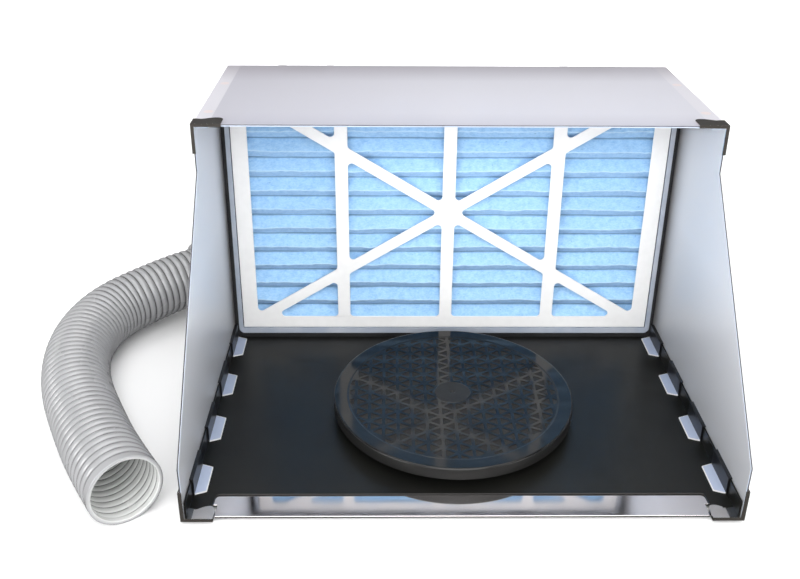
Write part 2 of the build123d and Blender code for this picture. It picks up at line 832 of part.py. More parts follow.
with BuildPart() as hinge_leaves:
    for hinge_x in hinge_centres:
        leaf_x = (hinge_x - 18.0, hinge_x + 18.0)
        rod_across(leaf_x, (hinge_y, hinge_z), 2.2)
        block(leaf_x, (face_y + 50.0, hinge_y - 0.5), (top_panel_z - 1.1, top_panel_z))
        rod_across(leaf_x, (hinge_y, hinge_z), hinge_pin_radius + running, Mode.SUBTRACT)
write(hinge_leaves, "hinge_leaves")

with BuildPart() as hinge_pins:
    for hinge_x in hinge_centres:
        rod_across((hinge_x - 26.0, hinge_x + 26.0), (hinge_y, hinge_z), hinge_pin_radius)
write(hinge_pins, "hinge_pins")

with BuildPart() as top_seal:
    block((-186, 186), (face_y + 2, face_y + 12), (housing_top_z, top_panel_z - gap))
write(top_seal, "top_seal")

with BuildPart() as carry_handle:
    handle_z = (handle_pivot_z - 4, handle_pivot_z + 4)
    handle_y = (handle_pivot_y - 4, face_y + 121.0)
    block((-61, 61), handle_y, handle_z)
    fillet(carry_handle.edges().filter_by(Axis.Z).group_by(Axis.Y)[-1], 8.0)
    block((-55, 55), (handle_y[0] - 1, face_y + 110.0), (220, 240), Mode.SUBTRACT)
    fillet(carry_handle.edges().filter_by(Axis.X).group_by(Axis.Y)[0], 3.8)
    for side in (-1, 1):
        bore_x = (side * 58 - 4, side * 58 + 4)
        bore_place = (handle_pivot_y, handle_pivot_z)
        rod_across(bore_x, bore_place, handle_pin_radius + running, Mode.SUBTRACT)
write(carry_handle, "carry_handle")

with BuildPart() as handle_pins:
    for side in (-1, 1):
        pin_x = sorted((side * 54.6, side * 67.0))
        rod_across(pin_x, (handle_pivot_y, handle_pivot_z), handle_pin_radius)
write(handle_pins, "handle_pins")


# --------------------------------------------------------- switch and power

with BuildPart() as switch_body:
    block(
        (switch_x - 10.8, switch_x + 10.8),
        (housing_rear_y, housing_rear_y + 2.0),
        (switch_z - 7.6, switch_z + 7.6),
    )
    block(
        (switch_x - 9.6, switch_x + 9.6),
        (face_y + 108.0, housing_rear_y),
        (switch_z - 6.4, switch_z + 6.4),
    )
    well_x = (switch_x - 7.8, switch_x + 7.8)
    rod_across(well_x, (rocker_y, switch_z), rocker_radius + gap, Mode.SUBTRACT)
    block(
        well_x,
        (rocker_y, housing_rear_y + 3),
        (switch_z - rocker_radius - gap, switch_z + rocker_radius + gap),
        Mode.SUBTRACT,
    )
    rod_across((switch_x - 9.5, switch_x + 9.5), (rocker_y, switch_z), 1.0, Mode.SUBTRACT)
write(switch_body, "switch_body")

with BuildPart() as switch_rocker:
    with BuildSketch(across(switch_x - 7.5)):
        with Locations((rocker_y, switch_z)):
            Circle(rocker_radius)
        with BuildLine():
            Polyline(
                (rocker_y - 6, switch_z - 6),
                (rocker_y + 5.2, switch_z - 6),
                (rocker_y + 3.4, switch_z),
                (rocker_y + 3.0, switch_z + 6),
                (rocker_y - 6, switch_z + 6),
                close=True,
            )
        make_face(mode=Mode.INTERSECT)
    extrude(amount=15.0)
    rod_across((switch_x - 8, switch_x + 8), (rocker_y, switch_z), 1.0 + running, Mode.SUBTRACT)
write(switch_rocker, "switch_rocker")

with BuildPart() as switch_pin:
    rod_across((switch_x - 9.4, switch_x + 9.4), (rocker_y, switch_z), 1.0)
write(switch_pin, "switch_pin")

with BuildPart() as power_inlet:
    rod_back((face_y + 112.0, housing_rear_y + 2.6), (inlet_x, switch_z), 4.0)
    rod_back((face_y + 120.4, housing_rear_y - wall), (inlet_x, switch_z), 5.5)
    rod_back((face_y + 117.0, housing_rear_y + 3), (inlet_x, switch_z), 2.75, Mode.SUBTRACT)
    rod_back((face_y + 116.0, housing_rear_y + 1), (inlet_x, switch_z), 1.0)
write(power_inlet, "power_inlet")

with BuildPart() as power_inlet_nut:
    with BuildSketch(upright(housing_rear_y + 2.0)):
        with Locations((inlet_x, switch_z)):
            RegularPolygon(6.4, 6)
            Circle(4.0, mode=Mode.SUBTRACT)
    extrude(amount=2.0)
write(power_inlet_nut, "power_inlet_nut")

with BuildPart() as circuit_board:
    block((116, 172), (face_y + 117.0, face_y + 118.6), (78, 108))
    block((124, 134), (face_y + 108.0, face_y + 117.0), (84, 98))
    block((142, 160), (face_y + 112.0, face_y + 117.0), (86, 96))
write(circuit_board, "circuit_board")
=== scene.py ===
"""Spray booth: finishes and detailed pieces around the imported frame.

Metres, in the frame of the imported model: X across the booth, Y towards the back, Z up.
"""
import json
from math import atan2, ceil, cos, pi, radians, sin, sqrt, tan

import bmesh
import bpy
from mathutils import Matrix, Vector, noise as field


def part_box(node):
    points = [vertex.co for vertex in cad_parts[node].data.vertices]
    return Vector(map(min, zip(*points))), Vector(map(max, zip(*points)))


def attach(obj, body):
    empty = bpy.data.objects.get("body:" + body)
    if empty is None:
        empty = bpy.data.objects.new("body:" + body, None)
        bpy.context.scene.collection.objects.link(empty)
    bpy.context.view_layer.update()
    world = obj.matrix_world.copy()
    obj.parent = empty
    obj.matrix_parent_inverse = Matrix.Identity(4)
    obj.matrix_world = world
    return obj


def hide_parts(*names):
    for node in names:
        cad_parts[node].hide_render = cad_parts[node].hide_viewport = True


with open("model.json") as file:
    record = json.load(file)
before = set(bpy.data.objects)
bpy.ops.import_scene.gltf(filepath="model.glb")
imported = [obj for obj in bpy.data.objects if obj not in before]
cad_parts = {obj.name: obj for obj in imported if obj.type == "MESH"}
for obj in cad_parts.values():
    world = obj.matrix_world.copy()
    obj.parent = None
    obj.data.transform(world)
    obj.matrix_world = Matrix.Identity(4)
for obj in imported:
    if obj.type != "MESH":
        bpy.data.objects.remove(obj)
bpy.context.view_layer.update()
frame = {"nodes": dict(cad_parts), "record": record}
nodes = frame["nodes"]

MM = 0.001
MERGE_DISTANCE = 0.001 * MM

# The filter: its front face is the plane that lengths along Y are counted from
felt_low, felt_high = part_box("filter_media")
FACE_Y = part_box("filter_front")[0].y

# The turntable's disc
disc_low, disc_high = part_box("turntable_disc")
disc_middle = (disc_low + disc_high) / 2
RECESS_RADIUS = 88 * MM
HUB_RADIUS = 15 * MM

# The hood's sheets
top_low, top_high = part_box("top_panel")
SHEET = top_high.z - top_low.z
side_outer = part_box("side_panel_right")[1].x
side_inner = side_outer - SHEET
# A point this far inside a limit still counts as past it
MARGIN = 0.05 * MM

# What shows through the top sheet: the side sheets' flaps, the housing and the snap studs
FLAP_WIDTH = 12 * MM
HOUSING_START = 80 * MM
HOUSING_FULL = 128 * MM
STUD_ROW_X = 195 * MM
STUD_OFFSETS = (-70 * MM, 10 * MM)
STUD_RADIUS = 3.8 * MM

# The side sheets' hooks: upright legs that end in flat feet on the tray
HOOK_TOP = 20.5 * MM
HOOK_SPACING = 62.5 * MM
REAR_HOOK_Y = FACE_Y - 20 * MM
FOOT_OUTER = side_inner - 2.9 * MM
FOOT_WIDTH = 8.5 * MM
# A foot's painted bright border: its width at the tip, and half the length inside it at the tip and
# at the leg
FOOT_BORDER = 0.8 * MM
HALF_AT_TIP = 12.9 * MM
HALF_AT_LEG = 16.2 * MM


# ------------------------------------------------------------------ materials

# Share of a noise texture's range that most of its values fall in
NOISE_LOW = 0.35
NOISE_HIGH = 0.65
WIDE_LOW = 0.3
WIDE_HIGH = 0.7


def add_node(tree, kind, inputs=(), **settings):
    """Add a shader node; an input is a value, or a socket to link from."""
    made = tree.nodes.new("ShaderNode" + kind)
    for key, value in settings.items():
        setattr(made, key, value)
    for key, value in dict(inputs).items():
        if isinstance(value, bpy.types.NodeSocket):
            tree.links.new(value, made.inputs[key])
        else:
            made.inputs[key].default_value = value
    return made


def add_span(tree, value, low, high, to_low, to_high):
    """Map a range to another, clamped."""
    values = {
        "Value": value,
        "From Min": low,
        "From Max": high,
        "To Min": to_low,
        "To Max": to_high,
    }
    return add_node(tree, "MapRange", values).outputs[0]


class Finish:
    """A node material round one Principled shader, with texture helpers in object space."""

    def __init__(self, name, colour, roughness, **fixed):
        self.material = bpy.data.materials.new(name)
        self.material.use_nodes = True
        self.tree = self.material.node_tree
        self.shader = self.tree.nodes["Principled BSDF"]
        self.coordinates = self.tree.nodes.new("ShaderNodeTexCoord")
        self.place = self.coordinates.outputs["Object"]
        self.set("Base Color", (*colour, 1))
        self.set("Roughness", roughness)
        for socket, value in fixed.items():
            self.set(socket.replace("_", " "), value)

    def set(self, socket, value):
        self.shader.inputs[socket].default_value = value

    def node(self, kind, inputs=(), **settings):
        return add_node(self.tree, kind, inputs, **settings)

    def noise(self, size, detail=2.0, stretch=(1, 1, 1), roughness=0.5):
        """Noise whose blotches are about size metres across."""
        place = self.node("Mapping", {"Vector": self.place, "Scale": stretch})
        values = {
            "Vector": place.outputs[0],
            "Scale": 1 / size,
            "Detail": detail,
            "Roughness": roughness,
        }
        return self.node("TexNoise", values).outputs["Fac"]

    def axis(self, name):
        return self.node("SeparateXYZ", {0: self.place}).outputs[name]

    def mark(self, name):
        """A value painted on the mesh; 0 on a mesh without it."""
        return self.node("Attribute", attribute_name=name).outputs["Fac"]

    def math(self, operation, a, b=0.0):
        return self.node("Math", {0: a, 1: b}, operation=operation).outputs[0]

    def span(self, value, low, high, to_low=0.0, to_high=1.0):
        return add_span(self.tree, value, low, high, to_low, to_high)

    def both(self, a, b):
        """Product of two masks."""
        return self.math("MULTIPLY", a, b)

    def over(self, value, limit):
        return self.math("GREATER_THAN", value, limit)

    def under(self, value, limit):
        return self.math("LESS_THAN", value, limit)

    def mix(self, factor, a, b):
        """Mix two colours; sockets 0, 6 and 7 are the factor and the colours."""
        node = self.node("Mix", data_type="RGBA")
        for index, value in ((0, factor), (6, a), (7, b)):
            if isinstance(value, bpy.types.NodeSocket):
                self.tree.links.new(value, node.inputs[index])
            elif index == 0:
                node.inputs[index].default_value = value
            else:
                node.inputs[index].default_value = (*value, 1)
        return node.outputs[2]

    def feed(self, socket, output):
        self.tree.links.new(output, self.shader.inputs[socket])

    def bump(self, height, distance, strength=1.0):
        """Add a bump over any that is there already."""
        values = {"Height": height, "Distance": distance, "Strength": strength}
        previous = self.shader.inputs["Normal"].links
        if previous:
            values["Normal"] = previous[0].from_socket
        self.feed("Normal", self.node("Bump", values).outputs[0])

    def mottle(self, a, b, size, detail=3.0, stretch=(1, 1, 1)):
        """Vary the base colour between two near colours."""
        factor = self.span(self.noise(size, detail, stretch), NOISE_LOW, NOISE_HIGH)
        self.feed("Base Color", self.mix(factor, a, b))

    def vary_roughness(self, low, high, size, detail=3.0):
        blotches = self.noise(size, detail)
        self.feed("Roughness", self.span(blotches, WIDE_LOW, WIDE_HIGH, low, high))


def frosted_sheet():
    """Frosted translucent sheet, with what shows through it, painted shade on the side and top
    sheets and the hook legs, painted light on the hook feet, and painted highlights on its cut
    edges.
    """
    finish = Finish(
        "frosted_sheet",
        (0.80, 0.82, 0.88),
        0.32,
        IOR=1.45,
        Transmission_Weight=0.4,
        Specular_IOR_Level=0.5,
    )
    both, over, under = finish.both, finish.over, finish.under
    across = finish.math("ABSOLUTE", finish.axis("X"))
    along = finish.axis("Y")
    height = finish.axis("Z")

    tint = finish.span(finish.noise(200 * MM, 1), WIDE_LOW, WIDE_HIGH)
    base = finish.mix(tint, (0.88, 0.895, 0.93), (0.90, 0.91, 0.945))

    # Upright side sheets: painted shade, greyer low down and darker beside the filter
    on_side = both(over(across, side_inner - MARGIN), under(height, top_low.z))
    low = finish.span(height, 10 * MM, 140 * MM, 0.60, 0.0)
    base = finish.mix(both(low, on_side), base, (0.20, 0.20, 0.205))
    rear_shade = finish.span(along, FACE_Y - 42 * MM, FACE_Y - 2 * MM, 0.0, 0.85)
    base = finish.mix(both(both(rear_shade, rear_shade), on_side), base, (0.09, 0.08, 0.075))

    # Top sheet: painted shade, greyer than the side sheets and more so to the left and in front,
    # with the flaps, housing and studs below it
    on_top = over(height, top_low.z - MARGIN)
    base = finish.mix(on_top, base, (0.74, 0.74, 0.80))
    shade = finish.span(finish.axis("X"), -200 * MM, 0.0, 0.5, 0.0)
    base = finish.mix(both(on_top, shade), base, (0.50, 0.49, 0.55))
    front_shade = finish.span(along, top_low.y, top_low.y + 30 * MM, 0.4, 0.0)
    base = finish.mix(both(on_top, front_shade), base, (0.50, 0.49, 0.57))
    over_flap = over(across, side_outer - FLAP_WIDTH)
    base = finish.mix(both(on_top, over_flap), base, (0.80, 0.79, 0.84))
    over_housing = finish.span(along, HOUSING_START, HOUSING_FULL, 0.0, 0.6)
    base = finish.mix(both(on_top, over_housing), base, (0.36, 0.33, 0.37))
    from_row = finish.math("SUBTRACT", across, STUD_ROW_X)
    for offset in STUD_OFFSETS:
        from_stud = finish.math("SUBTRACT", along, FACE_Y + offset)
        reach = finish.math("ADD", both(from_row, from_row), both(from_stud, from_stud))
        base = finish.mix(both(on_top, under(reach, STUD_RADIUS ** 2)), base, (0.90, 0.80, 0.80))

    # Front edges: painted highlight, pale on the cut, with a dark line along the outer side of the
    # cut
    facing = finish.node("SeparateXYZ", {0: finish.coordinates.outputs["Normal"]}).outputs
    front = under(facing["Y"], -0.6)
    base = finish.mix(front, base, (0.66, 0.74, 0.88))
    side_line = over(across, side_outer - 1.1 * MM)
    top_line = over(height, top_high.z - 0.6 * MM)
    line = finish.math("MAXIMUM", side_line, top_line)
    base = finish.mix(both(front, line), base, (0.05, 0.045, 0.055))

    # Hooks: legs dark, partly the black flange behind them and partly painted shade; feet paler
    # with painted light, and a painted highlight as a bright border
    on_hook = both(under(across, side_inner - MARGIN), under(height, HOOK_TOP))
    base = finish.mix(on_hook, base, (0.012, 0.013, 0.016))
    on_foot = both(on_hook, under(across, FOOT_OUTER))
    base = finish.mix(on_foot, base, (0.62, 0.70, 0.88))
    from_rear = finish.math("SUBTRACT", along, REAR_HOOK_Y)
    from_middle = finish.math("PINGPONG", from_rear, HOOK_SPACING / 2)
    foot_tip = FOOT_OUTER - FOOT_WIDTH
    half = finish.span(across, foot_tip, FOOT_OUTER, HALF_AT_TIP, HALF_AT_LEG)
    at_tip = under(across, foot_tip + FOOT_BORDER)
    highlight_border = finish.math("MAXIMUM", over(from_middle, half), at_tip)
    base = finish.mix(both(on_foot, highlight_border), base, (1.0, 1.0, 1.0))

    finish.feed("Base Color", base)
    blotches = finish.noise(150 * MM, 1)
    finish.feed("Roughness", finish.span(blotches, WIDE_LOW, WIDE_HIGH, 0.30, 0.34))
    finish.bump(finish.noise(0.5 * MM, 2), 0.004 * MM, 0.3)
    return finish.material


def glossy_sheet():
    """Clear glossy sheet with a faint warm cast."""
    finish = Finish(
        "glossy_sheet",
        (0.83, 0.79, 0.78),
        0.08,
        IOR=1.49,
        Transmission_Weight=0.45,
        Coat_Weight=0.5,
        Coat_Roughness=0.03,
    )
    finish.mottle((0.80, 0.76, 0.75), (0.86, 0.82, 0.81), 50 * MM)
    finish.vary_roughness(0.05, 0.14, 20 * MM)
    finish.bump(finish.noise(30 * MM, 1), 0.15 * MM, 0.6)
    return finish.material


def mirror_sheet():
    """Polished bright metal with a faint warm cast; a bump tilts its normals a little up towards
    the back.
    """
    finish = Finish("mirror_sheet", (0.90, 0.86, 0.86), 0.06, Metallic=1.0)
    finish.mottle((0.89, 0.85, 0.85), (0.91, 0.87, 0.87), 60 * MM)
    finish.vary_roughness(0.05, 0.08, 30 * MM)
    tilt = radians(1.6)
    finish.bump(finish.axis("Y"), tan(tilt), 1.0)
    return finish.material


def satin_black():
    """Satin black coated sheet."""
    finish = Finish("satin_black", (0.006, 0.006, 0.0055), 0.34, Specular_IOR_Level=0.28)
    finish.mottle((0.005, 0.005, 0.0045), (0.008, 0.008, 0.007), 60 * MM)
    finish.vary_roughness(0.31, 0.37, 40 * MM)
    finish.bump(finish.noise(0.6 * MM, 3), 0.01 * MM, 0.5)
    return finish.material


def moulding(name, dark, light, roughness, grain):
    """Moulded plastic with a spark-eroded texture."""
    finish = Finish(name, dark, roughness, Specular_IOR_Level=0.45)
    finish.mottle(dark, light, 30 * MM)
    finish.vary_roughness(roughness - 0.07, roughness + 0.07, 8 * MM)
    finish.bump(finish.noise(0.7 * MM, 3), grain * MM, 0.7)
    return finish.material


def chrome():
    """Bright pressed metal with faint waves."""
    finish = Finish("chrome", (0.78, 0.74, 0.71), 0.06, Metallic=1.0)
    finish.mottle((0.75, 0.71, 0.68), (0.82, 0.78, 0.76), 12 * MM)
    finish.vary_roughness(0.04, 0.12, 6 * MM)
    finish.bump(finish.noise(9 * MM, 1), 0.06 * MM, 0.5)
    return finish.material


def steel():
    """Brushed steel, with the brushing along Z."""
    finish = Finish("steel", (0.55, 0.55, 0.57), 0.3, Metallic=1.0)
    finish.mottle((0.50, 0.50, 0.52), (0.62, 0.62, 0.63), 3 * MM, stretch=(1, 1, 8))
    finish.vary_roughness(0.24, 0.38, 4 * MM)
    finish.bump(finish.noise(0.4 * MM, 2, (1, 1, 12)), 0.02 * MM, 0.6)
    return finish.material


def clear_frame():
    """Clear formed frame with a blue cast."""
    finish = Finish(
        "clear_frame",
        (0.62, 0.68, 0.78),
        0.1,
        IOR=1.49,
        Transmission_Weight=0.35,
        Coat_Weight=0.4,
    )
    finish.mottle((0.55, 0.62, 0.74), (0.70, 0.75, 0.84), 25 * MM)
    finish.vary_roughness(0.07, 0.18, 12 * MM)
    finish.bump(finish.noise(14 * MM, 1), 0.2 * MM, 0.6)
    return finish.material


def white_card():
    """Coated white card with faint fibres."""
    finish = Finish("white_card", (0.90, 0.90, 0.895), 0.5, Specular_IOR_Level=0.4)
    finish.mottle((0.89, 0.89, 0.885), (0.915, 0.915, 0.91), 7 * MM, detail=5)
    finish.vary_roughness(0.44, 0.58, 10 * MM)
    finish.bump(finish.noise(0.8 * MM, 4), 0.03 * MM, 0.6)
    return finish.material


def blue_felt():
    """Synthetic wool: light blue with pale tufts and dark specks, painted shade in the folds and a
    painted highlight on the crests.
    """
    finish = Finish(
        "blue_felt",
        (0.33, 0.60, 0.86),
        0.95,
        Specular_IOR_Level=0.15,
        Sheen_Weight=0.2,
        Sheen_Roughness=0.6,
    )
    tufts = finish.span(finish.noise(5 * MM, 6, (1, 1, 1), 0.65), 0.36, 0.64)
    fibres = finish.span(finish.noise(1.1 * MM, 4, (0.45, 1.2, 1.2), 0.7), 0.35, 0.68)
    base = finish.mix(tufts, (0.25, 0.48, 0.78), (0.36, 0.61, 0.89))
    base = finish.mix(finish.both(fibres, 0.5), base, (0.52, 0.75, 0.96))
    specks = finish.span(finish.noise(2.2 * MM, 2), 0.70, 0.76, 0.0, 0.5)
    base = finish.mix(specks, base, (0.12, 0.25, 0.40))
    # Painted shade in the folds and a painted highlight on the crests
    base = finish.mix(finish.both(finish.mark("fold_shade"), 0.85), base, (0.06, 0.13, 0.21))
    base = finish.mix(finish.both(finish.mark("crest_highlight"), 0.6), base, (0.75, 0.90, 1.0))
    finish.feed("Base Color", base)
    finish.bump(finish.noise(1.0 * MM, 5, (0.5, 1.2, 1.2), 0.7), 0.35 * MM, 0.7)
    return finish.material


def gloss_black():
    """Polished black moulding, duller on the disc's side, hub and pocket floors."""
    finish = Finish("gloss_black", (0.005, 0.005, 0.005), 0.1, Specular_IOR_Level=0.4)
    away = finish.node("VectorMath", {0: finish.place, 1: disc_middle}, operation="SUBTRACT")
    flat = finish.node("VectorMath", {0: away.outputs[0], 1: (1, 1, 0)}, operation="MULTIPLY")
    radius = finish.node("VectorMath", {0: flat.outputs[0]}, operation="LENGTH").outputs["Value"]
    height = finish.axis("Z")
    top = disc_high.z

    pocket_rim = top - 0.55 * MM
    under_side = top - 2.5 * MM
    pocket = finish.both(finish.under(height, pocket_rim), finish.over(height, under_side))
    pocket = finish.both(pocket, finish.under(radius, RECESS_RADIUS))
    patches = finish.span(finish.noise(15 * MM, 3), NOISE_LOW, NOISE_HIGH)
    polished = finish.mix(patches, (0.004, 0.004, 0.004), (0.006, 0.006, 0.0055))
    matt = finish.mix(patches, (0.011, 0.010, 0.009), (0.016, 0.015, 0.013))
    smooth = finish.span(finish.noise(6 * MM, 3), WIDE_LOW, WIDE_HIGH, 0.08, 0.13)
    side = finish.span(height, top - 1.2 * MM, top - 0.3 * MM, 0.55, 0.1)
    side = finish.both(side, finish.over(radius, RECESS_RADIUS + 8 * MM))
    hub = finish.under(radius, HUB_RADIUS - 0.3 * MM)
    dull = finish.math("MAXIMUM", pocket, hub)
    finish.feed("Base Color", finish.mix(dull, polished, matt))
    rough = finish.math("MAXIMUM", side, finish.both(dull, 0.6))
    finish.feed("Roughness", finish.math("MAXIMUM", smooth, rough))
    finish.bump(finish.noise(6 * MM, 2), 0.006 * MM, 0.5)
    return finish.material


def rubber():
    """Matt black rubber."""
    finish = Finish("rubber", (0.03, 0.03, 0.03), 0.8, Specular_IOR_Level=0.3)
    finish.mottle((0.025, 0.025, 0.025), (0.045, 0.044, 0.042), 3 * MM)
    finish.bump(finish.noise(0.5 * MM, 3), 0.06 * MM, 0.8)
    return finish.material


def foam():
    """Open-cell foam, with painted shade in the pits of its cells."""
    finish = Finish("foam", (0.62, 0.58, 0.53), 0.9, Specular_IOR_Level=0.2)
    cells = finish.node("TexVoronoi", {"Vector": finish.place, "Scale": 1 / (0.9 * MM)})
    cell = cells.outputs["Distance"]
    # Painted shade: darker in the pits of the cells, where the bump is lowest
    depth = finish.span(cell, 0, 0.6)
    finish.feed("Base Color", finish.mix(depth, (0.48, 0.44, 0.40), (0.70, 0.66, 0.60)))
    finish.bump(cell, 0.25 * MM, 0.8)
    return finish.material


def grey_vinyl():
    """Grey moulded vinyl with a low sheen."""
    finish = Finish("grey_moulding", (0.30, 0.30, 0.30), 0.28, Coat_Weight=0.3, Coat_Roughness=0.15)
    finish.mottle((0.285, 0.287, 0.29), (0.34, 0.342, 0.345), 22 * MM, detail=4)
    finish.vary_roughness(0.22, 0.36, 9 * MM)
    finish.bump(finish.noise(1.4 * MM, 2), 0.03 * MM, 0.5)
    return finish.material


def hose_vinyl():
    """Glossy grey vinyl, with painted shade in the depth of the groove and painted light making the
    inside of the bore paler.
    """
    finish = Finish(
        "grey_hose",
        (0.30, 0.302, 0.305),
        0.26,
        Specular_IOR_Level=0.5,
        Coat_Weight=0.6,
        Coat_Roughness=0.08,
    )
    patches = finish.span(finish.noise(90 * MM, 2), NOISE_LOW, NOISE_HIGH)
    outside = finish.mix(patches, (0.29, 0.292, 0.30), (0.315, 0.317, 0.325))
    # Painted light: the inside of the bore is paler than the outside
    inside = finish.mix(patches, (0.66, 0.67, 0.66), (0.70, 0.71, 0.70))
    base = finish.mix(finish.mark("bore"), outside, inside)
    # Painted shade, darkest in the depth of the groove
    groove_shade = finish.span(finish.mark("groove"), 0.34, 0.72, 0.0, 0.9)
    finish.feed("Base Color", finish.mix(groove_shade, base, (0.045, 0.04, 0.04)))
    finish.vary_roughness(0.24, 0.30, 40 * MM, detail=2)
    finish.bump(finish.noise(8 * MM, 1), 0.03 * MM, 0.4)
    return finish.material


def wire_cover():
    """Red insulation of a wire."""
    finish = Finish("wire_cover", (0.45, 0.03, 0.03), 0.35)
    finish.mottle((0.40, 0.025, 0.025), (0.50, 0.04, 0.04), 4 * MM)
    finish.bump(finish.noise(0.8 * MM, 2), 0.02 * MM, 0.6)
    return finish.material


def board_green():
    """Solder mask over faint copper tracks."""
    finish = Finish("board_green", (0.02, 0.16, 0.06), 0.3, Coat_Weight=0.3)
    bricks = finish.node("TexBrick", {"Vector": finish.place, "Scale": 90.0})
    tracks = bricks.outputs["Fac"]
    finish.feed("Base Color", finish.mix(tracks, (0.018, 0.15, 0.055), (0.05, 0.24, 0.09)))
    finish.bump(finish.noise(1.0 * MM, 2), 0.02 * MM, 0.5)
    return finish.material


# Each plastic's two near colours, its roughness and the height of its grain in mm
MOULDED = {
    "black_moulding": ((0.014, 0.014, 0.015), (0.022, 0.022, 0.023), 0.5, 0.10),
    "dark_plastic": ((0.03, 0.03, 0.032), (0.045, 0.045, 0.047), 0.45, 0.06),
    "white_plastic": ((0.70, 0.70, 0.68), (0.76, 0.76, 0.74), 0.4, 0.03),
}
SLOT_FINISHES = {
    "hood_sheet": frosted_sheet(),
    "clear_sheet": glossy_sheet(),
    "mirror_sheet": mirror_sheet(),
    "black_sheet": satin_black(),
    "chrome": chrome(),
    "clear_frame": clear_frame(),
    "white_card": white_card(),
    "blue_felt": blue_felt(),
    "black_gloss": gloss_black(),
    "rubber": rubber(),
    "foam": foam(),
    "grey_hose": hose_vinyl(),
    "grey_moulding": grey_vinyl(),
    "steel": steel(),
    "wire_red": wire_cover(),
    "board_green": board_green(),
}
for name, look in MOULDED.items():
    SLOT_FINISHES[name] = moulding(name, *look)

for part in frame["record"]["subparts"]:
    kept = nodes[part["node"]]
    kept.data.materials.clear()
    kept.data.materials.append(SLOT_FINISHES[part["material_slot"]])


def soften(node, width):
    """Round the sharp edges of a kept node with modifiers, and leave its mesh alone."""
    kept = nodes[node]
    weld = kept.modifiers.new("weld", "WELD")
    weld.merge_threshold = MERGE_DISTANCE
    bevel = kept.modifiers.new("bevel", "BEVEL")
    bevel.width = width
    bevel.segments = 2
    bevel.limit_method = "ANGLE"
    bevel.angle_limit = radians(40)
    bevel.harden_normals = True
    bevel.use_clamp_overlap = True


# Width of the rounding, in mm
SOFT_EDGES = {
    "side_panel_left": 0.35,
    "side_panel_right": 0.35,
    "top_panel": 0.4,
    "bottom_sheet": 0.4,
    "floor_tray": 0.3,
    "housing_frame": 0.6,
    "rear_cover": 0.6,
    "filter_front": 0.25,
    "carry_handle": 0.8,
    "front_pads": 0.5,
    "housing_feet": 0.5,
    "switch_body": 0.3,
    "switch_rocker": 0.3,
    "power_inlet_nut": 0.3,
    "cover_screws": 0.2,
    "panel_rivets": 0.4,
    "corner_clip_lower_left": 0.15,
    "corner_clip_lower_right": 0.15,
    "corner_clip_upper_left": 0.15,
    "corner_clip_upper_right": 0.15,
}
for name, width in SOFT_EDGES.items():
    soften(name, width * MM)


# ------------------------------------------------------------------- geometry

def piece(name, vertices, faces, body, slot, replaced=(), marks=None):
    """Make a smooth mesh piece that rides on a body and takes a slot's finish."""
    mesh = bpy.data.meshes.new(name)
    mesh.from_pydata([tuple(v) for v in vertices], [], faces)
    for mark, values in (marks or {}).items():
        mesh.attributes.new(mark, "FLOAT", "POINT").data.foreach_set("value", values)
    work = bmesh.new()
    work.from_mesh(mesh)
    bmesh.ops.remove_doubles(work, verts=work.verts, dist=MERGE_DISTANCE)
    bmesh.ops.recalc_face_normals(work, faces=work.faces)
    work.to_mesh(mesh)
    work.free()
    mesh.polygons.foreach_set("use_smooth", [True] * len(mesh.polygons))
    mesh.materials.append(SLOT_FINISHES[slot])
    thing = bpy.data.objects.new(name, mesh)
    bpy.context.scene.collection.objects.link(thing)
    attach(thing, body)
    if replaced:
        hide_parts(*replaced)
    return thing


# ----------------------------------------------------------------------- hose

HOSE_DIAMETER = 56 * MM
HOSE_BORE = 50 * MM
HOSE_ROUTE = (
    (-0.2451246, 0.1300897, 0.036),
    (-0.2613049, 0.118334, 0.036),
    (-0.2875, 0.09615, 0.0335),
    (-0.3169, 0.06715, 0.030),
    (-0.3295, 0.02855, 0.028),
    (-0.3271, -0.01465, 0.028),
    (-0.3130, -0.06085, 0.028),
    (-0.2895, -0.10635, 0.028),
    (-0.2644, -0.15065, 0.028),
    (-0.2405, -0.18425, 0.028),
)
RIDGE_PITCH = 6.8 * MM
GROOVE_DEPTH = 2.2 * MM
BORE_GROOVE_DEPTH = 0.4 * GROOVE_DEPTH
# Plain part at each end, and the length over which the groove runs out into it
END_BAND = 3.6 * MM
BAND_FADE = 1 * MM
LIP = 0.5 * MM
HOSE_COLUMNS = 72
STATION_SPACING = 1.5 * MM
# Share of the pitch and share of the groove's depth at each row of one turn
RIDGE_ROWS = (
    (0.00, 1.00),
    (0.03, 0.66),
    (0.08, 0.46),
    (0.16, 0.27),
    (0.28, 0.10),
    (0.40, 0.02),
    (0.50, 0.00),
    (0.60, 0.02),
    (0.72, 0.10),
    (0.84, 0.27),
    (0.92, 0.46),
    (0.97, 0.66),
)


def route_line(points):
    """Points along the smooth spline that the route's points control."""
    curve = bpy.data.curves.new("hose_route", "CURVE")
    curve.dimensions = "3D"
    spline = curve.splines.new("NURBS")
    spline.points.add(len(points) - 1)
    for control, place in zip(spline.points, points):
        control.co = (*place, 1)
    spline.order_u = 3
    spline.use_endpoint_u = True
    spline.resolution_u = 64
    helper = bpy.data.objects.new("hose_route", curve)
    bpy.context.scene.collection.objects.link(helper)
    line = bpy.data.meshes.new_from_object(helper)
    places = [v.co.copy() for v in line.vertices]
    bpy.data.objects.remove(helper)
    return places


def stations(places, spacing):
    """Evenly spaced (place, direction, distance) along a line of points."""
    reach = [0.0]
    for a, b in zip(places, places[1:]):
        reach.append(reach[-1] + (b - a).length)
    count = ceil(reach[-1] / spacing)
    found = []
    index = 0
    for step in range(count + 1):
        distance = min(reach[-1], step * reach[-1] / count)
        while index < len(places) - 2 and reach[index + 1] < distance:
            index += 1
        share = (distance - reach[index]) / (reach[index + 1] - reach[index])
        found.append((places[index].lerp(places[index + 1], share), distance))
    result = []
    window = 3
    for index, (spot, distance) in enumerate(found):
        ahead = found[min(index + window, count)][0]
        behind = found[max(index - window, 0)][0]
        result.append((spot, (ahead - behind).normalized(), distance))
    return result


hose_line = route_line(HOSE_ROUTE)


